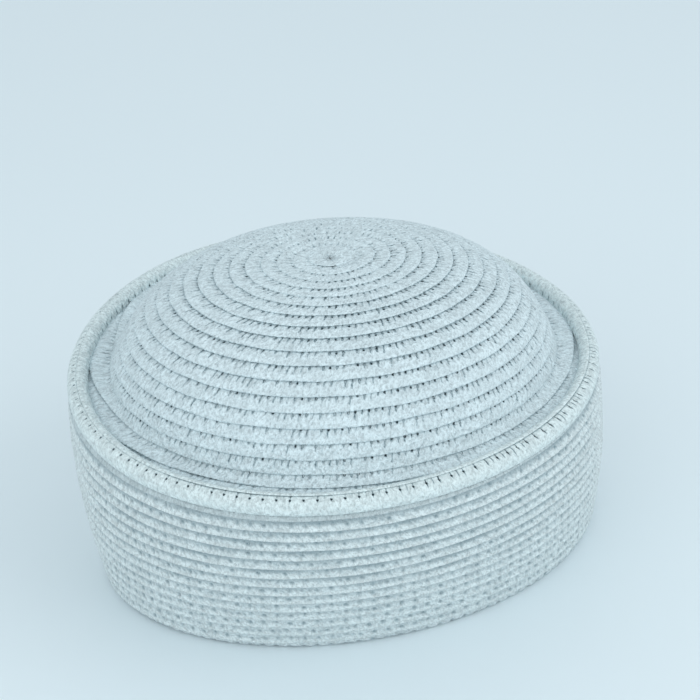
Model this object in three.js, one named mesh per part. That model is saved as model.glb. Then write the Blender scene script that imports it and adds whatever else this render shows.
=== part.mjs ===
// A woven paper-straw hat with a domed crown and a brim turned up all the way round, in millimetres, +Z up.
// It is sewn from one long braid, so every wall is one braid thick. The crown is a tall dome on an oval
// headband. At the foot the braid folds back on itself and climbs outside the crown as a deep cuff, the
// turned-up brim, whose last rows curl inwards into a soft round rim. The crown's side stands against the
// brim, and turns in under the rim, so that only a shallow groove runs between the dome and the rim.
//
// The origin is on the surface that the hat stands on, below the middle of the whole hat. +Y runs along the
// long axis of the head, from front to back, and +X across it.
//
// Each wall is a middle line in the (radius, height) plane, thickened to the braid, turned round Z, and then
// shaped from above: oval at the head and round at the rim, with a small shift and lean that a soft hat takes.

import * as THREE from "three";

// ---- driving dimensions ----

const BRAID = 2.0; // thickness of every wall
const JOIN_GAP = 0.3; // clearance where one piece hands over to the next
const TURNS = 60; // facets round the hat

// The crown: a side that widens from the headband to a shoulder under the rim, a concave flare that leads
// from the shoulder's groove inwards, and a dome.
const CROWN_MID_RADIUS = 91.8; // middle of the wall at the headband
const SHOULDER_RADIUS = 102.3;
const SHOULDER_HEIGHT = 81.0;
const SIDE_BELLY = 1.9; // how far the side bellies out of a straight line
const GROOVE_HEIGHT = 85.8; // where the groove's floor goes under the rim
const FLARE = 7.7; // how far the flare's foot stands outside the dome
const FLARE_TOP = 93.0; // height where the flare begins
const DOME_MID_RADIUS = 91.0; // half the width of the dome's superellipse
const DOME_START = 47.1; // height of the superellipse's centre
const HAT_HEIGHT = 136.5; // top of the tip
const DOME_SQUARENESS = 3.15; // 2 is an ellipse, more gives fuller shoulders
const LEAN_TOP = 105.0; // height where the dome no longer leans with the rim
const LEAN_DROP = 8.1; // how far the lean takes the groove down at its lowest side

// The turned-up brim: a tight fold at the foot, then a wall that flares and bellies outwards.
const FOLD_CORNER = 1.5; // radius of each corner of the fold, at the middle of the wall
const FOLD_FLAT = 2.0; // width of the flat between the corners, where the hat rests
const FOLD_LEAD = 1.5; // upright length between the inner corner and the headband
const BRIM_TOP_RADIUS = 105.5; // middle of the wall at the seam below the rim
const BRIM_TOP = 86.5; // height of that seam
const BRIM_BELLY = 2.1; // how far the wall bellies out of a straight flare

// The rim: the last rows, curled inwards round an open core.
const RIM_CENTRE_RADIUS = 102.1;
const RIM_CENTRE_HEIGHT = 90.6;
const RIM_MID_RADIUS = 3.7; // middle of the wall round the curl's own centre
const RIM_CURL_START = -28; // degrees, 0 points away from the hat's axis and 90 points up
const RIM_CURL_END = 205;

// The plan: half the difference between the long and the short axis, as a share of the mean radius.
const HEAD_OVAL = 0.138;
const DOME_OVAL = 0.05;
const RIM_OVAL = 0.043;

// How far the plan's centre is from the rim's.
const HEAD_SHIFT = new THREE.Vector2(-5.9, 6.8);
const DOME_SHIFT = new THREE.Vector2(1.15, -0.65);

// How the rim leans and waves: its rise for each millimetre in X and Y, and the height of a wave that goes up
// and down twice round the hat, with the angle where it is highest in degrees.
const RIM_LEAN = new THREE.Vector2(-0.098, 0.01);
const RIM_WAVE = 1.9;
const RIM_WAVE_ANGLE = 21;

const STRAW = new THREE.Color(0xe4ecef);
const STRAW_SHADED = new THREE.Color(0xdbe4e7);
const STRAW_RIM = new THREE.Color(0xebf2f4);

// ---- middle lines, in (radius, height) ----

// From the tip down to the headband's lower end.
function crownLine() {
  const rise = HAT_HEIGHT - BRAID / 2 - DOME_START;
  const lastAngle = Math.asin(((LEAN_TOP - DOME_START) / rise) ** (DOME_SQUARENESS / 2));
  const dome = [new THREE.Vector2(0, DOME_START + rise)];
  const domeSteps = 5;
  for (let i = 1; i <= domeSteps; i++) {
    const angle = THREE.MathUtils.lerp(Math.PI / 2, lastAngle, i / domeSteps);
    const height = DOME_START + rise * Math.sin(angle) ** (2 / DOME_SQUARENESS);
    dome.push(new THREE.Vector2(domeRadius(height), height));
  }
  const flareSteps = 4;
  for (let i = 1; i <= flareSteps; i++) {
    const height = THREE.MathUtils.lerp(LEAN_TOP, GROOVE_HEIGHT, i / flareSteps);
    dome.push(new THREE.Vector2(domeRadius(height) + flareAt(height), height));
  }
  const groove = dome.at(-1);
  const shoulder = new THREE.Vector2(SHOULDER_RADIUS, SHOULDER_HEIGHT);
  const flareSlope = (2 * FLARE) / (FLARE_TOP - GROOVE_HEIGHT);
  const corner = new THREE.Vector2(shoulder.x, groove.y - (shoulder.x - groove.x) / flareSlope);
  const band = new THREE.Vector2(CROWN_MID_RADIUS, foldCornerHeight() + FOLD_LEAD + JOIN_GAP);
  const pull = bellied(band, shoulder, SIDE_BELLY);
  return [
    ...dome,
    ...new THREE.QuadraticBezierCurve(groove, corner, shoulder).getPoints(2).slice(1),
    ...new THREE.QuadraticBezierCurve(shoulder, pull, band).getPoints(4).slice(1),
  ];
}

// Radius of the dome's superellipse at a height of the line. Where the line is going to lean, it is first
// raised by the drop, so that at the hat's lowest side the dome keeps the superellipse's own heights.
function domeRadius(height) {
  const upright = height - LEAN_DROP * (1 - domeShare(height));
  const up = (upright - DOME_START) / (HAT_HEIGHT - BRAID / 2 - DOME_START);
  return DOME_MID_RADIUS * (1 - up ** DOME_SQUARENESS) ** (1 / DOME_SQUARENESS);
}

// The flare grows with the square of the distance below its top.
function flareAt(height) {
  const below = Math.max(0, FLARE_TOP - height) / (FLARE_TOP - GROOVE_HEIGHT);
  return FLARE * below ** 2;
}

// 0 at the groove and below, and 1 where the dome no longer leans.
function domeShare(height) {
  return THREE.MathUtils.smoothstep(height, GROOVE_HEIGHT, LEAN_TOP);
}

// The control point of a quadratic curve that bellies out of its chord by a distance.
function bellied(low, high, belly) {
  const chord = high.clone().sub(low).normalize();
  const outward = new THREE.Vector2(chord.y, -chord.x);
  return low.clone().lerp(high, 0.5).addScaledVector(outward, 2 * belly);
}

// Height of the centres of the fold's corners, so that the underside of the flat is at 0.
function foldCornerHeight() {
  return BRAID / 2 + FOLD_CORNER;
}

// Down from the headband, across the flat, and up the wall to the seam below the rim.
function brimLine() {
  const corner = foldCornerHeight();
  const inner = CROWN_MID_RADIUS + FOLD_CORNER;
  const outer = inner + FOLD_FLAT;
  const foot = new THREE.Vector2(outer + FOLD_CORNER, corner);
  const seam = new THREE.Vector2(BRIM_TOP_RADIUS, BRIM_TOP);
  const pull = bellied(foot, seam, BRIM_BELLY);
  return [
    new THREE.Vector2(CROWN_MID_RADIUS, corner + FOLD_LEAD),
    ...arc(inner, corner, FOLD_CORNER, 180, 270, 3),
    ...arc(outer, corner, FOLD_CORNER, 270, 360, 3),
    ...new THREE.QuadraticBezierCurve(foot, pull, seam).getPoints(5).slice(1),
  ];
}

// From the seam below the rim, over the top and inwards to the braid's free edge.
function rimLine() {
  return [
    new THREE.Vector2(BRIM_TOP_RADIUS, BRIM_TOP + JOIN_GAP),
    ...arc(RIM_CENTRE_RADIUS, RIM_CENTRE_HEIGHT, RIM_MID_RADIUS, RIM_CURL_START, RIM_CURL_END, 10),
  ];
}

// Points along a circular arc, from one angle to another in degrees.
function arc(radius, height, size, from, to, steps) {
  const points = [];
  for (let i = 0; i <= steps; i++) {
    const angle = THREE.MathUtils.degToRad(THREE.MathUtils.lerp(from, to, i / steps));
    points.push(new THREE.Vector2(radius + size * Math.cos(angle), height + size * Math.sin(angle)));
  }
  return points;
}

// ---- from a middle line to a wall ----

// The line moved sideways by a distance, to its left where that is positive.
function sideways(line, distance) {
  return line.map((point, i) => {
    const before = line[Math.max(i - 1, 0)];
    const after = line[Math.min(i + 1, line.length - 1)];
    const ahead = after.clone().sub(before).normalize();
    const moved = new THREE.Vector2(point.x - distance * ahead.y, point.y + distance * ahead.x);
    if (point.x === 0) moved.set(0, point.y + distance);
    return moved;
  });
}

// The wall's outline: out along one side of its middle line and back along the other.
function wallOutline(line) {
  const startsOnAxis = line[0].x === 0;
  const leftSide = sideways(line, BRAID / 2);
  const rightSide = sideways(line, -BRAID / 2);
  const outline = [...rightSide, ...leftSide.reverse()];
  if (!startsOnAxis) outline.push(outline[0].clone());
  return outline;
}

// Turns the outline round Z and passes every vertex through the plan's shaping.
function wall(line, shaping) {
  const geometry = new THREE.LatheGeometry(wallOutline(line), TURNS);
  geometry.rotateX(Math.PI / 2);
  const position = geometry.getAttribute("position");
  const vertex = new THREE.Vector3();
  for (let i = 0; i < position.count; i++) {
    vertex.fromBufferAttribute(position, i);
    shaping(vertex);
    position.setXYZ(i, vertex.x, vertex.y, vertex.z);
  }
  geometry.computeVertexNormals();
  return geometry;
}

// Passes a vertex of any wall through the plan's shaping. From the head's oval at the fold to the rounder rim,
// the plan widens along Y, narrows along X and shifts, and it leans and waves more and more with height. Above
// the groove all that changes over to the upright dome.
function shapePlan(vertex, dome) {
  const fold = foldCornerHeight() + FOLD_LEAD;
  const rise = THREE.MathUtils.clamp((vertex.z - fold) / (BRIM_TOP - fold), 0, 1);
  const share = THREE.MathUtils.lerp(THREE.MathUtils.lerp(HEAD_OVAL, RIM_OVAL, rise), DOME_OVAL, dome);
  const shift = HEAD_SHIFT.clone().multiplyScalar(1 - rise).lerp(DOME_SHIFT, dome);
  vertex.x = vertex.x * (1 - share) + shift.x;
  vertex.y = vertex.y * (1 + share) + shift.y;
  const fromHighest = Math.atan2(vertex.y, vertex.x) - THREE.MathUtils.degToRad(RIM_WAVE_ANGLE);
  const lean = RIM_LEAN.x * vertex.x + RIM_LEAN.y * vertex.y;
  vertex.z += rise * (1 - dome) * (lean + RIM_WAVE * Math.cos(2 * fromHighest));
}

function shapeCrown(vertex) {
  shapePlan(vertex, domeShare(vertex.z));
}

function shapeBrim(vertex) {
  shapePlan(vertex, 0);
}

// ---- the pieces ----

function piece(name, line, shaping, colour) {
  const material = new THREE.MeshStandardMaterial({ color: colour, roughness: 0.85, metalness: 0 });
  const mesh = new THREE.Mesh(wall(line, shaping), material);
  mesh.name = name;
  return mesh;
}

const hat = new THREE.Group();
hat.add(piece("crown", crownLine(), shapeCrown, STRAW));
hat.add(piece("brim", brimLine(), shapeBrim, STRAW_SHADED));
hat.add(piece("rim_roll", rimLine(), shapeBrim, STRAW_RIM));

// The middle of the whole hat goes on the Z axis, and its lowest face to height 0.
const bounds = new THREE.Box3().setFromObject(hat);
const middle = bounds.getCenter(new THREE.Vector3());
for (const mesh of hat.children) mesh.geometry.translate(-middle.x, -middle.y, -bounds.min.z);

export default hat;
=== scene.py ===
"""Sews the hat's braid round its packed walls, and sets the stage, the lights and the camera.

The hat is one flat braid of paper straw, wound in a spiral from the tip of the crown down to the foot, round
the fold and up the turned-up brim. Each turn covers the edge of the next, as shingles do. The rim is finished
with closed rows of the same braid, wrapped round an open core.
"""

import math

import bpy
import numpy as np
from mathutils import Matrix, Vector


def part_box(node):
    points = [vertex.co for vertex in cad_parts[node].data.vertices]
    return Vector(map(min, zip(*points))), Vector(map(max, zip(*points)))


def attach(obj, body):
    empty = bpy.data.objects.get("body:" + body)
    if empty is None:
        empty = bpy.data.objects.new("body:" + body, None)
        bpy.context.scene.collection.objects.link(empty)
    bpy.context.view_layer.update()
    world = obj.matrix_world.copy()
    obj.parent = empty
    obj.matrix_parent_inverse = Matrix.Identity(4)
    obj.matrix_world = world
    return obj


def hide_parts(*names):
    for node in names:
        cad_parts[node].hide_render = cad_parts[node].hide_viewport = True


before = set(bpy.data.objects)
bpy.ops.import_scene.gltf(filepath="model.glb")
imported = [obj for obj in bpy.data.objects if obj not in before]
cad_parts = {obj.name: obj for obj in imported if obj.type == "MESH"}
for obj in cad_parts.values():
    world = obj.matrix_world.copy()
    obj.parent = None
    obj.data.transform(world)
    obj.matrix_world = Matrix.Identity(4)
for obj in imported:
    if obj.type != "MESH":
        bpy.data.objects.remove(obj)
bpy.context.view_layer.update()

bl_info = {
    "name": "Sewn Braid Hat",
    "version": (1, 0, 0),
    "blender": (4, 5, 0),
    "location": "3D View > Sidebar > Braid Hat",
    "description": "Builds a paper-straw hat from one sewn braid, with an upturned brim and a rolled rim",
    "category": "Add Mesh",
}

MM = 0.001
TURN = 2 * math.pi
STITCH_LENGTH = 5.0 * MM

# ---- the walls that the braid follows, read from the frame ----

RIM_LOW, RIM_HIGH = (np.array(corner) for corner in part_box("rim_roll"))
RIM_CENTRE = (RIM_LOW + RIM_HIGH)[:2] / 2
RIM_OUTER_RADIUS = (RIM_HIGH - RIM_LOW)[:2].mean() / 2
HAT_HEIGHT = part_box("crown")[1][2]


def length(name, about, default, low=0.0, high=1.0):
    """A bpy length property, in metres, with its name and description."""
    return bpy.props.FloatProperty(
        name=name, description=about, default=default, min=low, max=high, subtype="DISTANCE", unit="LENGTH"
    )


def share(name, about, default, low=0.0, high=1.0):
    """A bpy property without a unit."""
    return bpy.props.FloatProperty(name=name, description=about, default=default, min=low, max=high)


def tint(name, about, default):
    """A bpy colour property, linear red, green and blue."""
    return bpy.props.FloatVectorProperty(
        name=name, description=about, default=default, min=0.0, max=1.0, size=3, subtype="COLOR"
    )


class BraidHatShape(bpy.types.PropertyGroup):
    """Sizes of the walls that the braid is sewn to."""

    headband_radius: length("Headband radius", "Middle of the wall at the headband", 91.8 * MM)
    side_belly: length("Side belly", "How far the crown's side bellies out of a straight line", 1.9 * MM)
    shoulder_radius: length("Shoulder radius", "Where the crown's side is widest, under the rim", 102.3 * MM)
    shoulder_height: length("Shoulder height", "Height where the crown's side is widest", 81.0 * MM)
    groove_height: length("Groove height", "Where the groove's floor goes under the rim", 85.8 * MM)
    flare: length("Flare", "How far the foot of the dome's flare stands outside the dome", 7.7 * MM)
    flare_top: length("Flare top", "Height where the flare begins", 93.0 * MM)
    lean_top: length("Lean top", "Height where the dome no longer leans with the rim", 105.0 * MM)
    lean_drop: length("Lean drop", "How far the lean takes the groove down at its lowest side", 8.1 * MM)
    dome_radius: length("Dome radius", "Half the width of the dome's superellipse", 91.0 * MM)
    dome_start: length("Dome start", "Height of the centre of the dome's superellipse", 47.1 * MM)
    dome_squareness: share("Dome squareness", "Exponent of the dome, 2 for an ellipse", 3.15, 2.0, 6.0)
    wall: length("Wall", "Thickness of every wall", 2.0 * MM)
    fold_corner: length("Fold corner", "Radius of the fold's corners, at the middle of the wall", 1.5 * MM)
    fold_flat: length("Fold flat", "Width of the flat under the fold", 2.0 * MM)
    fold_lead: length("Fold lead", "Upright length over the fold's inner corner", 1.5 * MM)
    brim_top_radius: length("Brim top radius", "Middle of the wall at the seam below the rim", 105.5 * MM)
    brim_top: length("Brim top", "Height of the seam below the rim", 86.5 * MM)
    brim_belly: length("Brim belly", "How far the brim bellies out of a straight flare", 2.1 * MM)
    rim_height: length("Rim height", "Height of the middle of the rolled rim", 90.6 * MM)
    rim_tube: length("Rim tube", "Outer radius of the rolled rim", 4.7 * MM)
    head_oval: share("Head oval", "Half the difference of the head's axes, by the mean", 0.138)
    dome_oval: share("Dome oval", "Half the difference of the dome's axes, by the mean", 0.05)
    rim_oval: share("Rim oval", "Half the difference of the rim's axes, by the mean", 0.043)
    rim_wave: length("Rim wave", "Height of the wave that runs twice up and down round the rim", 1.9 * MM)


class BraidHatBraid(bpy.types.PropertyGroup):
    """Sizes of the braid and of its stitches."""

    pitch: length("Row pitch", "Distance from one row to the next", 5.935 * MM)
    width: length("Braid width", "Full width of the braid, with the part under the next row", 7.5 * MM)
    thickness: length("Braid thickness", "Thickness of the braid alone", 0.85 * MM)
    stitch: length("Stitch length", "Length of one stitch along the braid", STITCH_LENGTH)
    tilt: length("Shingle tilt", "How far one edge of a row stands over its other edge", 1.05 * MM)


class BraidHatColours(bpy.types.PropertyGroup):
    """Colours of the straw, of its painted shade, and of the stage."""

    straw: tint("Straw", "Paper straw in the light", (0.84, 0.96, 1.0))
    brim_straw: tint("Brim straw", "Reverse of the paper straw, a little warmer", (0.88, 0.97, 0.985))
    # The rim's straw is a lighter copy of the crown's straw.
    rim_straw: tint("Rim straw", "Straw of the rim, which is cleaner than the rest", (0.88, 0.99, 1.0))
    # Painted shade: the darker straw colour painted in the seams, slits and dents, where shade falls.
    shade: tint("Shade", "Straw in the seams and between the stitches", (0.20, 0.29, 0.33))
    # Painted shade: near-black for the hat's dark inside, painted into the holes, which are only dents.
    hole: tint("Hole", "What shows through the open stitches", (0.012, 0.026, 0.034))
    floor: tint("Floor", "Plain pale floor", (0.83, 0.91, 0.945))


# ---- the line that the wall follows ----


def arc(radius, height, size, start, end, count):
    """Points on a circle round (radius, height), from one angle to another in degrees, 0 outwards."""
    angle = np.radians(np.linspace(start, end, count))
    return np.stack([radius + size * np.cos(angle), height + size * np.sin(angle)], axis=1)


def smooth(value, low, high):
    """The cubic 3x^2 - 2x^3 of how far value has gone from low to high."""
    x = np.clip((value - low) / (high - low), 0, 1)
    return x * x * (3 - 2 * x)


def between(value, low, full, past, high):
    """1 from full to past, 0 below low and above high, and smooth on the way."""
    return smooth(value, low, full) * (1 - smooth(value, past, high))


class Wall:
    """A middle line from the tip to the rim, as columns over its own length.

    Each column is looked up by length along the line: radius, height, the outward normal's two parts, and how
    the plan is shaped there, by an oval share, a shift in X and Y, and a lean.
    """

    def __init__(self, points, oval, shift, lean, wave):
        self.wave = wave
        steps = np.hypot(*np.diff(points, axis=0).T)
        self.along = np.concatenate([[0], np.cumsum(steps)])
        self.length = self.along[-1]
        ahead = np.gradient(points, self.along, axis=0)
        ahead /= np.linalg.norm(ahead, axis=1)[:, None]
        normal = np.stack([-ahead[:, 1], ahead[:, 0]], axis=1)
        self.table = np.column_stack([points, normal, oval, shift, lean])
        self.row_table = None

    def level_rows(self, count):
        """Makes the rows of the first points level, though the wall leans, and evenly spaced at the front.

        From here on place() takes a row's coordinate, the true length from the tip down the front, in the
        place of the length along the line. At every other angle it stands for the point of equal height.
        """
        along = self.along[:count]
        front = self.place(FRONT, along, 0)
        row = np.concatenate([[0], np.cumsum(np.linalg.norm(np.diff(front, axis=0), axis=1))])
        self.row_foot = row[-1]
        past = self.along[count:] - along[-1]
        grid = np.arange(0, self.row_foot + past[-1] + ROW_STEP, ROW_STEP)
        height = np.interp(grid, row, front[:, 2])
        angles = np.linspace(0, TURN, ROW_ANGLES + 1)
        levels = [np.interp(-height, -self.place(angle, along, 0)[:, 2], along) for angle in angles]
        beyond = np.maximum(grid - self.row_foot, 0)
        self.row_table = np.array(levels) + beyond
        self.groove_row = float(np.interp(self.groove_along, along, row))
        self.end_row = self.row_foot + past[-1]

    def along_at(self, angle, row):
        """The length along the line at an angle and a row's coordinate, between four entries of the table."""
        angle, row = np.broadcast_arrays(angle, row)
        turn = np.mod(angle, TURN) / TURN * ROW_ANGLES
        column = np.clip(row / ROW_STEP, 0, self.row_table.shape[1] - 1.001)
        i, j = turn.astype(int), column.astype(int)
        u, v = turn - i, column - j
        near = self.row_table[i, j] * (1 - v) + self.row_table[i, j + 1] * v
        far = self.row_table[i + 1, j] * (1 - v) + self.row_table[i + 1, j + 1] * v
        return near * (1 - u) + far * u

    def look_up(self, along):
        """All columns at the lengths along the line, which may be an array of any shape."""
        flat = np.ravel(along)
        columns = [np.interp(flat, self.along, column) for column in self.table.T]
        return [column.reshape(np.shape(along)) for column in columns]

    def place(self, angle, along, off):
        """Points at an angle round the hat, a length along the line, and a distance off the wall.

        The line's point moves off along its normal and turns round Z. X is then narrowed and Y widened by
        the oval share, both are shifted, and the height gains the rim's slope and a wave that goes twice
        round, by the wall's share of them there. Once the rows are level, the length is a row's coordinate.
        """
        if self.row_table is not None:
            along = self.along_at(angle, along)
        radius, height, out, up, oval, shift_x, shift_y, lean = self.look_up(along)
        radius = np.maximum(radius + off * out, LEAST_RADIUS)
        x = radius * np.cos(angle) * (1 - oval) + shift_x
        y = radius * np.sin(angle) * (1 + oval) + shift_y
        wave = self.wave * np.cos(2 * (np.arctan2(y, x) - RIM_WAVE_ANGLE))
        z = height + off * up + lean * (RIM_LEAN[0] * x + RIM_LEAN[1] * y + wave)
        return np.stack([x + RIM_CENTRE[0], y + RIM_CENTRE[1], z], axis=-1)


# The angle of the front, where rows are evenly spaced, and the steps of the table of rows.
FRONT = math.radians(-19)
ROW_ANGLES = 180
ROW_STEP = 0.25 * MM
LEAST_RADIUS = 0.1 * MM
HEAD_SHIFT = np.array([-5.9, 6.8]) * MM
DOME_SHIFT = np.array([1.15, -0.65]) * MM
RIM_LEAN = (-0.098, 0.01)
RIM_WAVE_ANGLE = math.radians(21)
LINE_POINTS = 240
TURN_POINTS = 24
FOLD_POINTS = 12
# The arc of the roll, and the smaller one inside it where the braid runs on past the seam, in degrees.
ROLL_ARC = (-40, 262)
INSIDE_ARC = (-30, 190)
INSIDE_RADIUS = 2.4 * MM


def bellied(low, high, belly, count):
    """A quadratic curve from the low to the high point that leaves its straight chord by the belly."""
    chord = (high - low) / np.linalg.norm(high - low)
    pull = (low + high) / 2 + 2 * belly * np.array([chord[1], -chord[0]])
    return quadratic(low, pull, high, count)


def quadratic(start, pull, end, count):
    """Points on the curve (1 - t)^2 start + 2 t (1 - t) pull + t^2 end."""
    t = np.linspace(0, 1, count)[:, None]
    return (1 - t) ** 2 * start + 2 * t * (1 - t) * pull + t**2 * end


def dome_line(shape):
    """The dome from the tip to the groove.

    It is a superellipse, whose radius grows by the square of the distance below the flare's top. Where the
    line is going to lean with the rim, its heights are first raised by the drop, so that the dome keeps the
    superellipse's own heights at the hat's lowest side.
    """
    rise = HAT_HEIGHT - shape.wall / 2 - shape.dome_start
    power = shape.dome_squareness
    last = math.asin(((shape.lean_top - shape.dome_start) / rise) ** (power / 2))
    steep = shape.dome_start + rise * np.sin(np.linspace(math.pi / 2, last, LINE_POINTS)) ** (2 / power)
    height = np.concatenate([steep, np.linspace(shape.lean_top, shape.groove_height, LINE_POINTS // 2)[1:]])
    upright = height - shape.lean_drop * (1 - smooth(height, shape.groove_height, shape.lean_top))
    up = np.clip((upright - shape.dome_start) / rise, 0, 1)
    below = np.maximum(shape.flare_top - height, 0) / (shape.flare_top - shape.groove_height)
    radius = shape.dome_radius * (1 - up**power) ** (1 / power) + shape.flare * below**2
    radius[0] = 0
    return np.stack([radius, height], axis=1)


def body_wall(shape):
    """The wall from the tip, down the dome and the crown's side, round the fold and up to the rim's seam.

    A quadratic curve leads from the groove to the shoulder, and bellied ones make the crown's side and the
    brim. The fold is two quarter circles with a flat between them.
    """
    low = shape.wall / 2 + shape.fold_corner
    lead = low + shape.fold_lead
    dome = dome_line(shape)
    groove = dome[-1]
    shoulder = np.array([shape.shoulder_radius, shape.shoulder_height])
    slope = 2 * shape.flare / (shape.flare_top - shape.groove_height)
    corner = np.array([shoulder[0], groove[1] - (shoulder[0] - groove[0]) / slope])
    turn = quadratic(groove, corner, shoulder, TURN_POINTS)[1:]
    side = bellied(np.array([shape.headband_radius, lead]), shoulder, shape.side_belly, LINE_POINTS)[-2::-1]
    inner = shape.headband_radius + shape.fold_corner
    outer = inner + shape.fold_flat
    fold_in = arc(inner, low, shape.fold_corner, 180, 270, FOLD_POINTS)
    fold_out = arc(outer, low, shape.fold_corner, 270, 360, FOLD_POINTS)
    seam = np.array([shape.brim_top_radius, shape.brim_top])
    brim = bellied(fold_out[-1], seam, shape.brim_belly, LINE_POINTS)[1:]
    # The braid runs on past the seam, inside the roll, where its last turn is hidden.
    roll_middle = RIM_OUTER_RADIUS - shape.rim_tube
    inside = arc(roll_middle, shape.rim_height, INSIDE_RADIUS, *INSIDE_ARC, TURN_POINTS)
    points = np.concatenate([dome, turn, side, fold_in, fold_out, brim, inside])
    crown_count = len(dome) + len(turn) + len(side) + len(fold_in)
    on_crown = np.arange(len(points)) < crown_count
    height = points[:, 1]
    upright = np.where(on_crown, smooth(height, shape.groove_height, shape.lean_top), 0)
    rise = np.clip((height - lead) / (shape.brim_top - lead), 0, 1)
    oval = shape.head_oval + (shape.rim_oval - shape.head_oval) * rise
    oval = oval + (shape.dome_oval - oval) * upright
    shift = HEAD_SHIFT * (1 - rise)[:, None]
    shift = shift + (DOME_SHIFT - shift) * upright[:, None]
    wall = Wall(points, oval, shift, rise * (1 - upright), shape.rim_wave)
    wall.groove_along = wall.along[len(dome) - 1]
    wall.seam_along = wall.along[len(points) - len(inside) - 1]
    wall.level_rows(crown_count)
    return wall


def rim_wall(shape):
    """The rolled rim's wall: an arc round its own centre from the outer seam, over the top and inwards."""
    centre = RIM_OUTER_RADIUS - shape.rim_tube
    size = shape.rim_tube - shape.wall / 2
    roll = arc(centre, shape.rim_height, size, *ROLL_ARC, LINE_POINTS)
    ones = np.ones(len(roll))
    return Wall(roll, ones * shape.rim_oval, np.zeros((len(roll), 2)), ones, shape.rim_wave)


# ---- the braid ----

EDGE_ROUND = 0.45 * MM

# Slits. They lean by their slant, and cross the mark of their stitch where the row above them ends.
SLIT_WIDTH = 0.30 * MM
SLIT_DEPTH = 0.62 * MM
SLIT_SLANT = 0.2
SLANT_FROM = 1.565 * MM
SLIT_FADE = 0.8 * MM
OPEN_SIDE = math.radians(40)

# The holes at the head of the slits.
HOLE_SIZE = 0.56 * MM
HOLE_DEPTH = 1.10 * MM


def bell(value, centre, width):
    """A bell curve of height 1: e to the minus square of the distance over the width."""
    return np.exp(-(((value - centre) / width) ** 2))


def ripple(seed, angle, along, most_waves=6, steepest=60, count=7):
    """Unevenness of handmade work, about -1 to 1: a few sine waves over angle and length along the wall."""
    draw = np.random.default_rng(seed)
    waves = draw.integers(1, most_waves, count)
    steps = draw.uniform(-steepest, steepest, count)
    phases = draw.uniform(0, TURN, count)
    return sum(np.sin(w * angle + s * along + p) for w, s, p in zip(waves, steps, phases)) / count**0.5


class Spiral:
    """The path of one braid round a wall: the angle and the row's coordinate, for each stitch number.

    The coordinate grows by one pitch a turn, and between the groove and the foot by a little slack as well.
    The stitch number is the path's own length over a stitch's.
    """

    STEPS = 96

    def __init__(self, wall, braid, start, stop, slack=0.0):
        turns = (stop - start - slack) / braid.pitch
        self.angles = np.linspace(0, turns * TURN, int(turns * self.STEPS))
        self.alongs = start + braid.pitch * self.angles / TURN
        self.alongs += slack * smooth(self.alongs, wall.groove_row, wall.row_foot)
        middle = wall.along_at(self.angles, np.maximum(self.alongs + braid.pitch / 2, 0))
        radius = np.maximum(wall.look_up(middle)[0], SMALLEST_TURN)
        self.stitches = np.concatenate([[0], np.cumsum(radius[1:] * np.diff(self.angles))]) / braid.stitch

    def at(self, stitch):
        """Angle and row's coordinate at a stitch number."""
        return np.interp(stitch, self.stitches, self.angles), np.interp(stitch, self.stitches, self.alongs)

    def stitch_at(self, along):
        """The whole stitch number where the braid's first edge is at a row's coordinate."""
        return round(float(np.interp(along, self.alongs, self.stitches)))


class Ring:
    """The path of a closed row: one turn at a constant length, with a whole number of stitches."""

    def __init__(self, wall, braid, along, inset=0.0):
        self.along = along
        radius = wall.look_up(np.array([along + inset]))[0][0]
        self.count = round(TURN * radius / braid.stitch)

    def at(self, stitch):
        angle = TURN * stitch / self.count
        return angle, np.full_like(angle, self.along)


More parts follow.
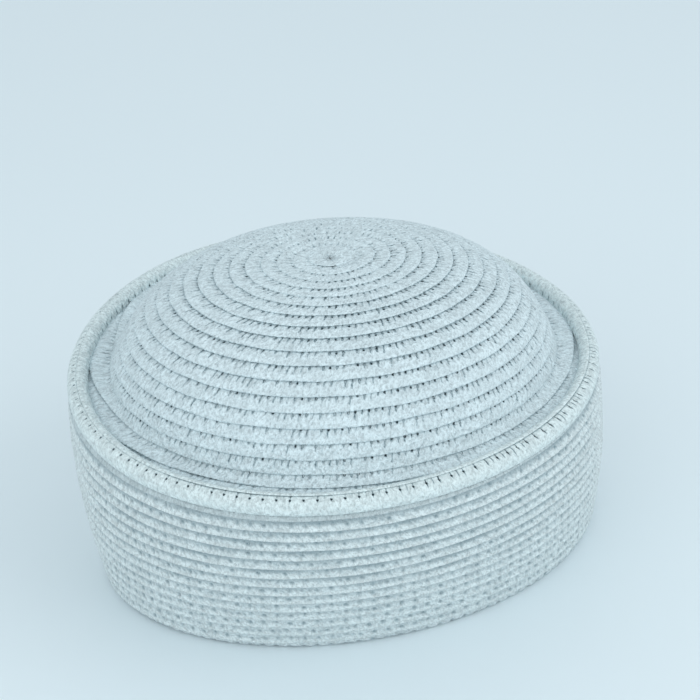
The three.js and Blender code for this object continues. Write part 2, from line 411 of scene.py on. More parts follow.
def strip(name, path, stitches, phases, section, closed=False):
    """A mesh of braid: section points carried along the path, at the given phases of each whole stitch.

    section(stitch, angle, along) gives, for a column of stitch numbers, the points in metres, how much
    painted shade each has in the seams and dents and in the slits and holes, and its distance across the
    braid.
    Neighbours in the grid are joined by quads that face outwards. An open strip has a face at each end.
    """
    stitch = (np.arange(*stitches)[:, None] + np.asarray(phases)[None, :]).ravel()
    if not closed:
        stitch = np.append(stitch, stitches[1])
    angle, along = path.at(stitch)
    points, seam, pit_shade, across = section(stitch[:, None], angle[:, None], along[:, None])
    rows, around = pit_shade.shape
    index = np.arange(rows * around).reshape(rows, around)
    here = index if closed else index[:-1]
    there = np.roll(index, -1, axis=0) if closed else index[1:]
    sides = [here, np.roll(here, -1, axis=1), np.roll(there, -1, axis=1), there]
    quads = np.stack(sides, axis=-1).reshape(-1, 4)
    mesh = bpy.data.meshes.new(name)
    ends = [] if closed else [index[0][::-1], index[-1]]
    corners = np.concatenate([quads.ravel(), *ends])
    sizes = np.concatenate([np.full(len(quads), 4), [len(end) for end in ends]]).astype(np.int32)
    mesh.vertices.add(rows * around)
    mesh.vertices.foreach_set("co", points.astype(np.float32).ravel())
    mesh.loops.add(len(corners))
    mesh.loops.foreach_set("vertex_index", corners.astype(np.int32))
    mesh.polygons.add(len(sizes))
    mesh.polygons.foreach_set("loop_start", np.concatenate([[0], np.cumsum(sizes)[:-1]]).astype(np.int32))
    mesh.update(calc_edges=True)
    mesh.polygons.foreach_set("use_smooth", np.ones(len(sizes), bool))
    # Painted shade, as two attributes for the material: one for the seams and dents, one for the slits and
    # holes.
    for attribute, values in (("seam_and_dent_shade", seam), ("pit_shade", pit_shade)):
        layer = mesh.attributes.new(attribute, "FLOAT", "POINT")
        layer.data.foreach_set("value", np.broadcast_to(values, pit_shade.shape).astype(np.float32).ravel())
    lay = mesh.uv_layers.new(name="lay")
    stitch_grid = np.broadcast_to(stitch[:, None], pit_shade.shape).ravel()
    pairs = np.stack([stitch_grid, across.ravel() / MM], axis=1)[corners]
    if closed:
        # The last quads run on to the stitch number past the end, not back to 0.
        pairs[: len(quads) * 4].reshape(rows, around, 4, 2)[-1, :, 2:4, 0] = stitches[1]
    lay.data.foreach_set("uv", pairs.astype(np.float32).ravel())
    mesh.validate()
    piece = bpy.data.objects.new(name, mesh)
    bpy.context.scene.collection.objects.link(piece)
    return piece


def half_thickness(across, braid, width):
    """Half the braid's thickness, round like a quarter circle near both edges."""
    inward = np.clip(np.minimum(across, width - across) / EDGE_ROUND, 0, 1)
    return braid.thickness / 2 * np.sqrt(1 - (1 - inward) ** 2)


def slits(stitch, braid, seed):
    """The nearest half stitch: distance to it along the braid, its random draws, and whether it is whole."""
    nearest = np.round(2 * stitch)
    draws = np.random.default_rng(seed).uniform(size=(int(nearest.max()) + 2, 5))
    return (2 * stitch - nearest) * braid.stitch / 2, draws[nearest.astype(int)], nearest % 2 == 0


# The good side: a row's fullness, and the painted shade in the seam where it goes under the row above it.
ROW_FULLNESS = 0.16 * MM
STITCH_FULLNESS = 0.10 * MM
SEAM_SHADE_EDGES = (0.1 * MM, 0.7 * MM)
FRONT_SEAM_SHADE = 0.8
# How strong slits are, whole and half, how long, where they start, and how much of them is painted shade.
WEAKEST_SLIT = 0.45
NO_HALF_SLIT = 0.35
WEAKEST_HALF_SLIT = 0.3
HALF_SLIT_GAIN = 0.6
SHORTEST_SLIT = 0.9 * MM
SLIT_GAIN = 2.4 * MM
SLIT_SPREAD = 1.3
SLIT_START = (-0.9 * MM, -0.2 * MM)
SLIT_SHADE = 0.62
# How often whole and half stitches have a hole, and its place, depth and length.
WHOLE_HOLES = 0.8
HALF_HOLES = 0.22
OPEN_SIDE_HOLES = 0.6
OPEN_SIDE_EDGES = (0.2, 0.95)
HOLE_PLACE = 0.5 * MM
HOLE_LENGTH = 0.62 * MM
SHALLOWEST_HOLE = 0.8


def front_relief(across, stitch, angle, braid, seed, width):
    """The good side of the braid: height gained, and painted shade in the seam and in the slits and holes,
    at a distance across it.

    A row is softly full. Where it comes out from under the row above it, slits open between the stitches, and
    most of them start at a small hole. The half stitches open more often on one side of the hat.
    """
    gap, draws, whole = slits(stitch, braid, seed)
    under = width - braid.pitch
    shown = np.clip((across - under) / (width - under), 0, 1)
    strength = np.where(
        whole,
        WEAKEST_SLIT + (1 - WEAKEST_SLIT) * draws[..., 0],
        (draws[..., 0] > NO_HALF_SLIT) * (WEAKEST_HALF_SLIT + HALF_SLIT_GAIN * draws[..., 1]),
    )
    reach = SHORTEST_SLIT + SLIT_GAIN * draws[..., 2] ** SLIT_SPREAD
    fade = between(across - under, *SLIT_START, reach, reach + SLIT_FADE)
    slit = strength * fade * bell(gap + SLIT_SLANT * (across - under), 0, SLIT_WIDTH)
    half_holes = HALF_HOLES + OPEN_SIDE_HOLES * smooth(np.cos(angle - OPEN_SIDE), *OPEN_SIDE_EDGES)
    hole = draws[..., 4] < np.where(whole, WHOLE_HOLES, half_holes)
    hole = hole * (SHALLOWEST_HOLE + (1 - SHALLOWEST_HOLE) * draws[..., 1])
    hole = hole * bell(gap, 0, HOLE_SIZE) * bell(across, under + HOLE_PLACE, HOLE_LENGTH)
    full = ROW_FULLNESS * np.sin(math.pi * shown)
    full = full + STITCH_FULLNESS * np.abs(np.sin(TURN * stitch)) * (1 - shown)
    height = full - np.minimum(SLIT_DEPTH * slit + HOLE_DEPTH * hole, HOLE_DEPTH)
    seam = FRONT_SEAM_SHADE * (1 - smooth(across - under, *SEAM_SHADE_EDGES))
    return height, seam, np.maximum(SLIT_SHADE * slit, hole)


# The reverse: the cord along the edge that shows, and how much it swells with the stitches.
CORD_HEIGHT = 0.55 * MM
CORD_PLACE = 0.45 * MM
CORD_WIDTH = 0.42 * MM
CORD_SWELL = 0.15
# The dents, whole and half, with painted shade in them. Their place is before the next row, by the pitch.
DOT_DEPTH = 0.75 * MM
DOT_PLACE = (2.2 * MM, 0.8 * MM)
DOT_LENGTH = 0.85 * MM
DOT_SIZE = (0.62 * MM, 0.38 * MM)
WEAKEST_DOT = 0.6
HALF_DOT = 0.6
NO_HALF_DOT = 0.65
DOT_SHADE = 2.6
# The rungs between the dents, and the painted shade under the next row's cord.
RUNG_HEIGHT = 0.15 * MM
RUNG_EDGES = (1.5 * MM, 4.0 * MM)
BACK_SEAM_SHADE = 1.15
BACK_SEAM_SHADE_EDGES = (-3.2 * MM, -1.4 * MM)


def back_relief(across, stitch, braid, seed, strength):
    """The reverse of the braid: height gained, and painted shade in the seam and in the dents, at a distance
    across it.

    A cord stands up along the edge that shows. Farther in, under the next row's cord, painted shade stands
    for the shade that the cord throws, and there is one small dent in each stitch, and in some half stitches
    as well, with painted shade in it.
    """
    gap, draws, whole = slits(stitch, braid, seed + 1)
    swell = 1 - CORD_SWELL + CORD_SWELL * np.cos(2 * TURN * stitch)
    cord = CORD_HEIGHT * strength * swell * bell(across, CORD_PLACE, CORD_WIDTH)
    place = braid.pitch - DOT_PLACE[0] - DOT_PLACE[1] * draws[..., 0]
    size = DOT_SIZE[0] + DOT_SIZE[1] * draws[..., 1]
    dot = bell(gap, 0, size) * bell(across, place, DOT_LENGTH)
    dot = dot * (WEAKEST_DOT + (1 - WEAKEST_DOT) * draws[..., 2])
    dot = dot * np.where(whole, 1.0, HALF_DOT * (draws[..., 3] > NO_HALF_DOT))
    rung = RUNG_HEIGHT * -np.cos(TURN * stitch) * smooth(across, *RUNG_EDGES)
    seam = BACK_SEAM_SHADE * strength * smooth(across - braid.pitch, *BACK_SEAM_SHADE_EDGES)
    return cord + rung - DOT_DEPTH * dot, np.maximum(seam, DOT_SHADE * dot)


# Unevenness of the rows: scallops at the last edge, slow and quick wavering, waves off the wall, and cords
# that are stronger here and there. A ripple's pair is its most waves a turn and its steepest along.
SCALLOP = 0.14 * MM
SCALLOP_EDGE = 1.2 * MM
SLOW_WAVER = 0.16 * MM
QUICK_WAVER = 0.14 * MM
QUICK_RIPPLE = (30, 500)
WALL_WAVE = 0.10 * MM
CORD_WAVE = 0.22
CORD_RIPPLE = (24, 400)
# Rows keep less of their tilt near the tip, and round the foot.
TIP_EDGES = (5 * MM, 60 * MM)
FOOT_REACH = 70 * MM
LEAST_TILT = 0.25
# The lift over the groove, most at the back, and the tuck under the roll, with painted shade for the roll's
# shadow.
GROOVE_LIFT = 3.2 * MM
GROOVE_BAND = (-12 * MM, -3 * MM, 2 * MM, 8 * MM)
BACK_LIFT = 0.2
TUCK_LIFT = 0.5 * MM
TUCK_EDGES = (-3.2 * MM, -0.8 * MM)
TUCK_SHADE = 0.6
# The painted shade of seams and pits is fainter near the tip, and that of pits in the groove.
SEAM_SHADE_GROWS = (5 * MM, 45 * MM)
LEAST_SEAM_SHADE = 0.2
PIT_SHADE_GROWS = (1 * MM, 14 * MM)
GROOVE_FAINTER = 0.6
FIRST_ROW = 0.3 * MM


def braid_section(wall, braid, front, back, seed, sink=0.0, cord=1.0):
    """The section function of a sewn row, for strip().

    front and back are distances across the braid in millimetres, over the good side and back on the reverse.
    sink says how deep the row lies, and cord how strong its cord is, as a number or by the row's coordinate.
    A point is off the wall by the shingle's tilt, by half the thickness, by the relief of its side, and by
    the lift over the groove and under the roll.
    """
    flat = np.concatenate([front, back]) * MM
    good_side = np.arange(len(flat)) < len(front)
    width = flat.max()
    inner = (flat > 0) & (flat < width)

    def section(stitch, angle, along):
        across = np.broadcast_to(flat, (len(stitch), len(flat)))
        line = wall.along_at(angle, along + across)
        lift = between(line - wall.groove_along, *GROOVE_BAND) * (1 + BACK_LIFT * (1 - np.cos(angle - FRONT)))
        tuck = smooth(line - wall.seam_along, *TUCK_EDGES)

        strength = cord(along) if callable(cord) else cord
        strength = strength * (1 + CORD_WAVE * ripple(seed + 9, angle, along, *CORD_RIPPLE))
        good, good_seam_shade, pit_shade = front_relief(across, stitch, angle, braid, seed, width)
        reverse, reverse_shade = back_relief(across, stitch, braid, seed, strength)
        # Painted shade: in the seam under the row above, under the next row's cord, in the dents, and under
        # the roll. The painted shade of the slits and holes is fainter near the tip and over the groove.
        seam = np.where(good_side, good_seam_shade, np.maximum(reverse_shade, TUCK_SHADE * tuck)) * inner
        seam = np.clip(seam, 0, 2) * (LEAST_SEAM_SHADE + (1 - LEAST_SEAM_SHADE) * smooth(along, *SEAM_SHADE_GROWS))
        pit_shade = np.where(good_side, np.clip(pit_shade, 0, 1), 0) * inner
        pit_shade = pit_shade * smooth(along, *PIT_SHADE_GROWS) * (1 - GROOVE_FAINTER * lift)

        half = half_thickness(across, braid, width)
        from_foot = (1 + smooth(np.abs(along - wall.row_foot), 0, FOOT_REACH)) / 2
        kept = LEAST_TILT + (1 - LEAST_TILT) * smooth(along, *TIP_EDGES) * from_foot
        off = braid.tilt * (across / width - 0.5) * kept
        off = off + np.where(good_side, half + good, -half - reverse)
        off = off + WALL_WAVE * ripple(seed + 3, angle, along) + GROOVE_LIFT * lift + TUCK_LIFT * tuck
        off = off - (sink(along) if callable(sink) else sink)

        scallop = SCALLOP * np.cos(2 * TURN * stitch) * smooth(flat, width - SCALLOP_EDGE, width)
        waver = SLOW_WAVER * ripple(seed + 7, angle, along)
        waver = waver + QUICK_WAVER * ripple(seed + 8, angle, along, *QUICK_RIPPLE)
        points = wall.place(angle, np.maximum(along + across + scallop + waver, FIRST_ROW), off)
        points[..., 2] = np.maximum(points[..., 2], 0)
        return points, seam, pit_shade, across

    return section


# Points across the braid in millimetres, and along it in shares of a stitch.
FRONT_FINE = (0, 1.45, 1.85, 2.25, 2.8, 3.6, 4.6, 5.7, 6.6, 7.15, 7.42, 7.5)
BACK_PLAIN = (6.9, 3.6, 0.5)
BACK_FINE = (7.0, 5.9, 5.45, 5.05, 4.6, 4.0, 2.8, 1.5, 0.85, 0.45, 0.15)
FRONT_PLAIN = (0, 1.2, 6.3, 7.5)
SLIT_PHASES = (0, 0.07, 0.14, 0.42, 0.5, 0.58, 0.86, 0.93)
DOT_PHASES = (0, 0.08, 0.25, 0.5, 0.75, 0.92)
PLAIN_PHASES = (0, 0.25, 0.5, 0.75)
SEED = 41
SPIRAL_START = 1.9 * MM
SPIRAL_SLACK = 1.12 * MM
START_SINK = 0.6 * MM
SMALLEST_TURN = 3 * MM
# How strong the cord is on the crown, and where past the foot it grows to its full strength.
CROWN_CORD = 0.3
CORD_GROWS = (10 * MM, 60 * MM)


def sew(name, shape, braid, start, stop, phases, front, back, node):
    """A stretch of the one long braid, between two rows' coordinates."""
    wall = body_wall(shape)
    path = Spiral(wall, braid, SPIRAL_START, wall.end_row - braid.width, SPIRAL_SLACK)
    stitches = (path.stitch_at(start), path.stitch_at(stop))

    def sink(along):
        """The first turn starts under the tip's own coil."""
        return START_SINK * (1 - smooth(along, SPIRAL_START, SPIRAL_START + braid.pitch))

    def cord(along):
        """The crown hides its reverse, so the cord is only strong on the brim."""
        return CROWN_CORD + (1 - CROWN_CORD) * smooth(along - wall.row_foot, *CORD_GROWS)

    section = braid_section(wall, braid, front, back, SEED, sink, cord)
    finish(strip(name, path, stitches, phases, section), node)


def finish(piece, node):
    """Gives a piece of braid its material, and ties it to the frame."""
    slot = {"crown": "straw_crown", "brim": "straw_brim", "rim_roll": "straw_rim"}[node]
    piece.data.materials.append(straw_material(slot))
    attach(piece, "root")
    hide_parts(node)


# The rim's rows: each one's two edges, in degrees round the roll, and shares of its width outside and inside.
RIM_ROWS = ((-40, 100), (87, 205), (192, 258))
RIM_OUTSIDE = (0.97, 0.90, 0.85, 0.80, 0.74, 0.64, 0.52, 0.38, 0.24, 0.12, 0.05, 0.012, 0)
RIM_INSIDE = (0.1, 0.6, 1.0)
RIM_TILT = 0.7 * MM
RIM_FULLNESS = 0.18 * MM
RIM_FULL_WIDTH = 0.85
RIM_WALL_WAVE = 0.08 * MM
RIM_WAVER = 0.15 * MM
# Its holes and slits with their painted shade, and the painted shade in the seam before the next row.
RIM_HOLE_PLACE = 2.45 * MM
RIM_HOLE_LENGTH = 0.5 * MM
RIM_CLOSED_HOLES = 0.06
RIM_WEAKEST_SLIT = 0.4
RIM_HALF_SLIT = 0.6
RIM_SLIT_REACH = (0.5 * MM, 1.2 * MM)
RIM_SLIT_END = 0.9
RIM_SLIT_SHADE = (0.3, 0.55)
RIM_OPEN_EDGES = (0.5, 0.95)
RIM_SEAM_SHADE_EDGES = (0.84, 0.92)


def rim_section(wall, braid, width, seed):
    """The section function of a row on the roll, whose outside is the reverse of the wall's line.

    The row is smooth and full, its first edge stands over the row before it, and slits open near its far
    edge. Its slits, its holes and its seam before the next row get painted shade.
    """
    flat = np.concatenate([RIM_OUTSIDE, RIM_INSIDE]) * width
    inside = np.arange(len(flat)) >= len(RIM_OUTSIDE)

    def section(stitch, angle, along):
        across = np.broadcast_to(flat, (len(stitch), len(flat)))
        part = across / width
        gap, draws, whole = slits(stitch, braid, seed)
        centre = width - RIM_HOLE_PLACE
        strength = np.where(
            whole,
            RIM_WEAKEST_SLIT + (1 - RIM_WEAKEST_SLIT) * draws[..., 0],
            RIM_HALF_SLIT * (draws[..., 0] > RIM_HALF_SLIT),
        )
        start = centre - RIM_SLIT_REACH[0] - RIM_SLIT_REACH[1] * draws[..., 2]
        fade = between(across, start - SLIT_FADE, start, RIM_SLIT_END * width, width)
        slit = strength * bell(gap, 0, SLIT_WIDTH) * fade
        hole = whole * (draws[..., 4] > RIM_CLOSED_HOLES) * bell(gap, 0, HOLE_SIZE)
        hole = hole * bell(across, centre, RIM_HOLE_LENGTH)
        open_side = smooth(np.cos(angle - OPEN_SIDE), *RIM_OPEN_EDGES)
        pit_shade = np.maximum((RIM_SLIT_SHADE[0] + RIM_SLIT_SHADE[1] * open_side) * slit, hole)
        pit_shade = np.where(inside, 0, np.clip(pit_shade, 0, 1))
        seam = np.where(inside, 0, smooth(part, *RIM_SEAM_SHADE_EDGES))

        half = half_thickness(across, braid, width)
        full = RIM_FULLNESS * np.sin(math.pi * np.clip(part / RIM_FULL_WIDTH, 0, 1))
        relief = full - np.minimum(SLIT_DEPTH * slit + HOLE_DEPTH * hole, HOLE_DEPTH)
        off = RIM_TILT * (part - 0.5) + np.where(inside, half, -half - relief)
        off = off + RIM_WALL_WAVE * ripple(seed + 3, angle, along)
        waver = RIM_WAVER * ripple(seed + 7, angle, along)
        points = wall.place(angle, along + across + waver, off)
        return points, seam, pit_shade, across - centre + SLANT_FROM

    return section


# ---- the materials ----


class Value:
    """A shader socket that carries a number, with Python's operators as Math nodes."""

    def __init__(self, tree, socket):
        self.tree = tree
        self.socket = socket

    def math(self, operation, *others):
        return self.tree.value("ShaderNodeMath", {"operation": operation}, dict(enumerate([self, *others])))

    def __add__(self, other):
        return self.math("ADD", other)

    def __mul__(self, other):
        return self.math("MULTIPLY", other)

    def __sub__(self, other):
        return self.math("SUBTRACT", other)

    def __rsub__(self, other):
        return (self * -1) + other

    __radd__ = __add__
    __rmul__ = __mul__

    def abs(self):
        return self.math("ABSOLUTE")

    def fraction(self):
        return self.math("FRACT")

    def step(self, low, high):
        """0 as far as low and 1 from high on, whichever is the larger number, and smooth between."""
        how = {"interpolation_type": "SMOOTHSTEP", "clamp": True}
        return self.tree.value("ShaderNodeMapRange", how, {0: self, 1: low, 2: high})


class Tree:
    """The node tree of one material."""

    def __init__(self, material):
        self.nodes = material.node_tree.nodes
        self.links = material.node_tree.links

    def add(self, kind, settings=None, inputs=None):
        """A node of a kind, with its settings first and then its sockets set or linked, by name or number."""
        node = self.nodes.new(kind)
        for name, value in (settings or {}).items():
            setattr(node, name, value)
        for key, value in (inputs or {}).items():
            source = value.socket if isinstance(value, Value) else value
            if isinstance(source, bpy.types.NodeSocket):
                self.links.new(source, node.inputs[key])
            else:
                node.inputs[key].default_value = source
        return node

    def value(self, kind, settings=None, inputs=None, output=0):
        return Value(self, self.add(kind, settings, inputs).outputs[output])

    def mix(self, factor, first, second):
        """The colour that lies factor of the way from the first to the second."""
        inputs = {0: factor, 6: first, 7: second}
        return self.value("ShaderNodeMix", {"data_type": "RGBA", "clamp_factor": True}, inputs, 2)


def rgba(colour):
    return (*colour, 1.0)


# The straw's grain, in waves a millimetre along and across the braid, or both, and a metre for the last two.
STRAND_GRAIN = (1.15, 0.42)
LUMP_GRAIN = (0.62, 0.42)
WARP_GRAIN = 0.45
SWERVE_GRAIN = 1.3
PATCH_GRAIN = 110.0
CRUMPLE_GRAIN = 950.0
# How far the strands are warped and how much they lean, and how far the edge of the pits' painted shade
# swerves.
STRAND_WARP = 2.6
STRAND_LEAN = 0.35
PIT_SWERVE = 0.36
PIT_EDGES = (0.3, 0.58)
# Shares of strands and crumples in the grain, and how much each thing darkens the straw: the grain partly
# by its own streaks and partly by painted shade in its low parts, the lumps by painted shade, the patches
# by their own tone, and the seams and pits by painted shade.
STRAND_SHARE = 0.55
DULL_AND_SHADED_SHARE = 0.68
LUMP_SHADE = 0.45
PATCH_DULLING = 0.25
SEAM_SHADING = 0.5
PIT_SHADING = 0.9
# The relief of the grain.
BODY_HEIGHT = 0.85
LUMP_HEIGHT = 2.3
BUMP_STRENGTH = 0.9
BUMP_DISTANCE = 1.0 * MM


def straw_material(slot):
    """White paper straw: soft fibres across the braid, painted shade in the seams and slits, and painted
    near-black in the holes between the stitches, for the hat's dark inside.

    Along and across are in millimetres here. The pits' painted shade shows only close to a half stitch,
    within PIT_EDGES of it.
    """
    name = "sewn_" + slot
    if name in bpy.data.materials:
        return bpy.data.materials[name]
    colours = bpy.context.scene.braid_hat_colours
    material = bpy.data.materials.new(name)
    material.use_nodes = True
    material.node_tree.nodes.clear()
    tree = Tree(material)
    lay = tree.add("ShaderNodeUVMap", {"uv_map": "lay"}).outputs[0]
    parts = tree.add("ShaderNodeSeparateXYZ", None, {0: lay})
    stitches, across = Value(tree, parts.outputs[0]), Value(tree, parts.outputs[1])
    along = stitches * (STITCH_LENGTH / MM)
    seam = tree.value("ShaderNodeAttribute", {"attribute_name": "seam_and_dent_shade"}, None, 2)
    pit_shade = tree.value("ShaderNodeAttribute", {"attribute_name": "pit_shade"}, None, 2)
    solid = tree.add("ShaderNodeTexCoord").outputs[3]

    def noise(x, y, detail, rough=0.5):
        """Noise on the braid, laid flat."""
        vector = tree.add("ShaderNodeCombineXYZ", None, {0: x, 1: y}).outputs[0]
        inputs = {"Vector": vector, "Scale": 1.0, "Detail": detail, "Roughness": rough}
        return tree.value("ShaderNodeTexNoise", None, inputs)

    def solid_noise(scale, detail, rough=0.5):
        """Noise in the room, which pays no heed to the braid."""
        inputs = {"Vector": solid, "Scale": scale, "Detail": detail, "Roughness": rough}
        return tree.value("ShaderNodeTexNoise", None, inputs)

    warp = noise(along * WARP_GRAIN, across * WARP_GRAIN, 2.0) - 0.5
    bent = along + warp * STRAND_WARP + across * STRAND_LEAN
    strands = noise(bent * STRAND_GRAIN[0], across * STRAND_GRAIN[1], 3.0, 0.65)
    lumps = noise(along * LUMP_GRAIN[0], across * LUMP_GRAIN[1], 2.0)
    patches = solid_noise(PATCH_GRAIN, 1.0)
    crumple = solid_noise(CRUMPLE_GRAIN, 3.0, 0.6)
    body = strands * STRAND_SHARE + crumple * (1 - STRAND_SHARE)

    # How far a point is, along the braid, from the half stitch where the pits' painted shade can be.
    half_stitch = STITCH_LENGTH / MM / 2
    swerve = (noise(along * SWERVE_GRAIN, across * SWERVE_GRAIN, 1.0) - 0.5) * PIT_SWERVE
    slant = (across - SLANT_FROM / MM) * (SLIT_SLANT / half_stitch)
    beside = ((stitches * 2 + slant + swerve + 0.5).fraction() - 0.5).abs() * half_stitch
    near = 1 - beside.step(*PIT_EDGES)

    straws = {"straw_crown": colours.straw, "straw_brim": colours.brim_straw, "straw_rim": colours.rim_straw}
    straw = straws[slot]
    # A darker copy of the straw: in the grain's low parts partly the straw's own streaks and partly painted
    # shade, between the lumps painted shade, and in the patches the straw's own duller tone.
    dull_and_shaded = rgba(c * DULL_AND_SHADED_SHARE for c in straw)
    light = tree.mix(body.step(0.36, 0.58), dull_and_shaded, rgba(straw))
    light = tree.mix(lumps.step(0.5, 0.32) * LUMP_SHADE, light, dull_and_shaded)
    light = tree.mix(patches.step(0.35, 0.7) * PATCH_DULLING, light, dull_and_shaded)
    # Painted shade in the seams and dents, and in the slits near the half stitches, and painted near-black in
    # the holes for the hat's dark inside.
    shaded = tree.mix(seam * SEAM_SHADING, light, rgba(colours.shade))
    shaded = tree.mix(pit_shade.step(0.05, 0.45) * near * PIT_SHADING, shaded, rgba(colours.shade))
    colour = tree.mix(pit_shade.step(0.4, 0.56) * near, shaded, rgba(colours.hole))

    height = body * BODY_HEIGHT + lumps * LUMP_HEIGHT
    inputs = {"Strength": BUMP_STRENGTH, "Distance": BUMP_DISTANCE, "Height": height}
    bump = tree.add("ShaderNodeBump", None, inputs).outputs[0]
    rough = strands * 0.2 + 0.5
    inputs = {"Base Color": colour, "Roughness": rough, "Normal": bump, "Specular IOR Level": 0.4}
    shader = tree.add("ShaderNodeBsdfPrincipled", None, inputs)
    tree.add("ShaderNodeOutputMaterial", None, {0: shader.outputs[0]})
    return material


FLOOR_DULLNESS = 0.985


def floor_material():
    """A plain pale floor with the faintest unevenness."""
    colours = bpy.context.scene.braid_hat_colours
    material = bpy.data.materials.new("pale_floor")
    material.use_nodes = True
    material.node_tree.nodes.clear()
    tree = Tree(material)
    solid = tree.add("ShaderNodeTexCoord").outputs[3]
    cloud = tree.value("ShaderNodeTexNoise", None, {"Vector": solid, "Scale": 3.0, "Detail": 1.0})
    colour = tree.mix(cloud, rgba(c * FLOOR_DULLNESS for c in colours.floor), rgba(colours.floor))
    shader = tree.add("ShaderNodeBsdfPrincipled", None, {"Base Color": colour, "Roughness": 0.55})
    tree.add("ShaderNodeOutputMaterial", None, {0: shader.outputs[0]})
    return material


# ---- the operators ----


# The tip's own coil: where it starts, where its stitches are counted, and how deep it lies.
TIP_START = 0.3 * MM
TIP_MIDDLE = 4.5 * MM
TIP_SINK = 0.05 * MM
# Where one piece of the braid ends and the next begins, by the row's coordinate.
DOME_CUTS = (62 * MM, 95 * MM)
PAST_GROOVE = 4 * MM
BEFORE_FOOT = 5 * MM
BEFORE_END = 0.5 * MM


def settings():
    scene = bpy.context.scene
    return scene.braid_hat_shape, scene.braid_hat_braid


class BRAIDHAT_OT_crown(bpy.types.Operator):
    """Sews the crown, from the tip's own coil down to the headband"""

    bl_idname = "braid_hat.crown"
    bl_label = "Sew the crown"

    def execute(self, context):
        shape, braid = settings()
        wall = body_wall(shape)
        tip = Ring(wall, braid, TIP_START, TIP_MIDDLE)
        section = braid_section(wall, braid, FRONT_FINE, BACK_PLAIN, SEED + 20, TIP_SINK)
        finish(strip("crown_tip", tip, (0, tip.count), SLIT_PHASES, section, closed=True), "crown")
        fine = (SLIT_PHASES, FRONT_FINE, BACK_PLAIN)
        cuts = (SPIRAL_START, *DOME_CUTS, wall.groove_row + PAST_GROOVE)
        for number, (start, stop) in enumerate(zip(cuts, cuts[1:]), 1):
            sew(f"crown_dome_{number}", shape, braid, start, stop, *fine, "crown")
        stop = wall.row_foot - BEFORE_FOOT
        sew("crown_headband", shape, braid, cuts[-1], stop, PLAIN_PHASES, FRONT_PLAIN, BACK_PLAIN, "crown")
        return {"FINISHED"}


class BRAIDHAT_OT_brim(bpy.types.Operator):
    """Sews the fold at the foot and the turned-up brim"""

    bl_idname = "braid_hat.brim"
    bl_label = "Sew the brim"

    def execute(self, context):
        shape, braid = settings()
        wall = body_wall(shape)
        cuts = np.linspace(wall.row_foot - BEFORE_FOOT, wall.end_row - braid.width - BEFORE_END, 4)
        for part, start, stop in zip(("lower", "middle", "upper"), cuts, cuts[1:]):
            sew(f"brim_{part}", shape, braid, start, stop, DOT_PHASES, FRONT_PLAIN, BACK_FINE, "brim")
        return {"FINISHED"}


class BRAIDHAT_OT_rim(bpy.types.Operator):
    """Wraps the closed rows of the rolled rim"""

    bl_idname = "braid_hat.rim"
    bl_label = "Wrap the rim"

    def execute(self, context):
        shape, braid = settings()
        wall = rim_wall(shape)
        degree = wall.length / (ROLL_ARC[1] - ROLL_ARC[0])
        for number, (start, end) in enumerate(RIM_ROWS):
            section = rim_section(wall, braid, (end - start) * degree, SEED + 60 + number)
            path = Ring(wall, braid, (start - ROLL_ARC[0]) * degree)
            piece = strip(f"rim_row_{number + 1}", path, (0, path.count), SLIT_PHASES, section, closed=True)
            finish(piece, "rim_roll")
        return {"FINISHED"}


class BRAIDHAT_OT_stage(bpy.types.Operator):
    """Sets the pale floor, the soft lights and the camera"""

    bl_idname = "braid_hat.stage"
    bl_label = "Set the stage"

    def execute(self, context):
        set_floor()
        set_lights()
        set_camera()
        return {"FINISHED"}


def set_floor():
    """A square floor, far larger than the hat."""
    mesh = bpy.data.meshes.new("floor")
    size = 6.0
    corners = [(-size, -size, 0), (size, -size, 0), (size, size, 0), (-size, size, 0)]
    mesh.from_pydata(corners, [], [(0, 1, 2, 3)])
    floor = bpy.data.objects.new("floor", mesh)
    bpy.context.scene.collection.objects.link(floor)
    mesh.materials.append(floor_material())


def aim(thing, target):
    """Turns a lamp so that it shines at a point."""
    direction = Vector(target) - thing.location
    thing.rotation_euler = direction.to_track_quat("-Z", "Y").to_euler()


SKY_COLOUR = (0.82, 0.91, 0.96, 1.0)
SKY_STRENGTH = 0.82
LIT_HEIGHT = 0.05


def set_lights():
    """A broad soft light on either side of the front, and a pale sky."""
    # Name, place, size, power and colour.
    lamps = (
        ("light_right", (0.9, 0.9, 0.9), 1.4, 5.0, (0.97, 0.99, 1.0)),
        ("light_left", (0.9, -1.0, 0.8), 1.4, 4.5, (0.98, 1.0, 0.99)),
    )
    for name, place, size, power, colour in lamps:
        data = bpy.data.lights.new(name, "AREA")
        data.shape = "DISK"
        data.size = size
        data.energy = power
        data.color = colour
        lamp = bpy.data.objects.new(name, data)
        lamp.location = place
        bpy.context.scene.collection.objects.link(lamp)
        aim(lamp, (0, 0, LIT_HEIGHT))
    world = bpy.data.worlds.new("pale_sky")
    world.use_nodes = True
    background = world.node_tree.nodes["Background"]
    background.inputs[0].default_value = SKY_COLOUR
    background.inputs[1].default_value = SKY_STRENGTH
    bpy.context.scene.world = world
    bpy.context.scene.view_settings.view_transform = "Standard"


AZIMUTH = math.radians(70.87)
ELEVATION = math.radians(28.1)
ROLL = math.radians(2.4)
DISTANCE = 0.701
AIM_RIGHT = 6.4 * MM
AIM_UP = 92.4 * MM
LENS = 86.7
NEAREST = 0.05


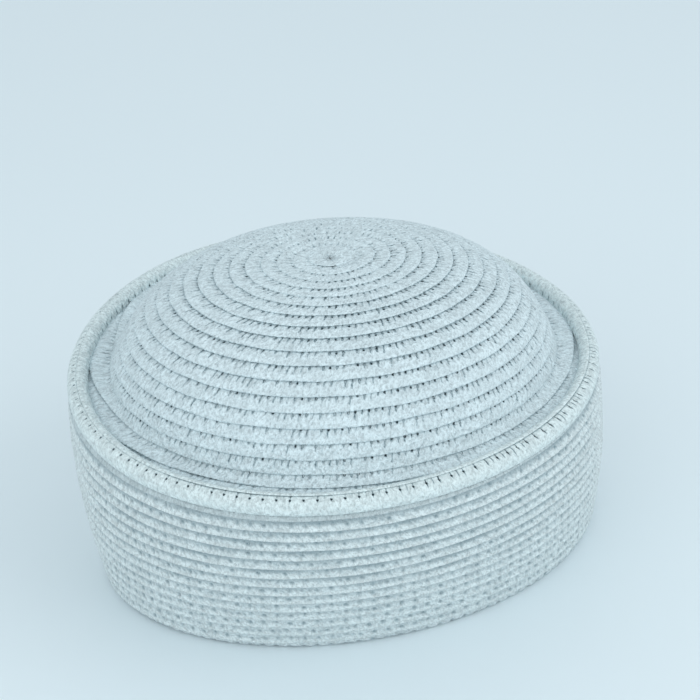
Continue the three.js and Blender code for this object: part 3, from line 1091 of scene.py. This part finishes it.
def set_camera():
    """A camera that looks down at the hat from its side, turned a little about its own axis.

    It stands off from a point above the rim's middle, back along the view. Azimuth 0 looks along +Y.
    """
    right = Vector((math.cos(AZIMUTH), math.sin(AZIMUTH), 0))
    level = Vector((math.sin(AZIMUTH), -math.cos(AZIMUTH), 0))
    back = level * math.cos(ELEVATION) + Vector((0, 0, math.sin(ELEVATION)))
    up = back.cross(right)
    across = right * math.cos(ROLL) - up * math.sin(ROLL)
    upward = right * math.sin(ROLL) + up * math.cos(ROLL)
    aim_point = Vector((*RIM_CENTRE, AIM_UP)) + right * AIM_RIGHT
    turn = Matrix((across, upward, back)).transposed().to_4x4()
    data = bpy.data.cameras.new("camera")
    data.lens = LENS
    data.clip_start = NEAREST
    camera = bpy.data.objects.new("camera", data)
    bpy.context.scene.collection.objects.link(camera)
    camera.matrix_world = Matrix.Translation(aim_point + back * DISTANCE) @ turn
    bpy.context.scene.camera = camera


class BRAIDHAT_PT_panel(bpy.types.Panel):
    """The hat's sizes, colours and steps"""

    bl_idname = "BRAIDHAT_PT_panel"
    bl_label = "Sewn Braid Hat"
    bl_space_type = "VIEW_3D"
    bl_region_type = "UI"
    bl_category = "Braid Hat"

    def draw(self, context):
        for name in GROUPS:
            group = getattr(context.scene, name)
            box = self.layout.box()
            for size in group.__annotations__:
                box.prop(group, size)
        for step in STEPS:
            self.layout.operator(step.bl_idname)


STEPS = (BRAIDHAT_OT_crown, BRAIDHAT_OT_brim, BRAIDHAT_OT_rim, BRAIDHAT_OT_stage)
GROUPS = {
    "braid_hat_shape": BraidHatShape,
    "braid_hat_braid": BraidHatBraid,
    "braid_hat_colours": BraidHatColours,
}


def register():
    for kind in (*GROUPS.values(), *STEPS, BRAIDHAT_PT_panel):
        bpy.utils.register_class(kind)
    for name, kind in GROUPS.items():
        setattr(bpy.types.Scene, name, bpy.props.PointerProperty(type=kind))


def unregister():
    for name in GROUPS:
        delattr(bpy.types.Scene, name)
    for kind in (BRAIDHAT_PT_panel, *STEPS, *GROUPS.values()):
        bpy.utils.unregister_class(kind)


def main():
    register()
    bpy.ops.braid_hat.crown()
    bpy.ops.braid_hat.brim()
    bpy.ops.braid_hat.rim()
    bpy.ops.braid_hat.stage()


if __name__ == "__main__":
    main()
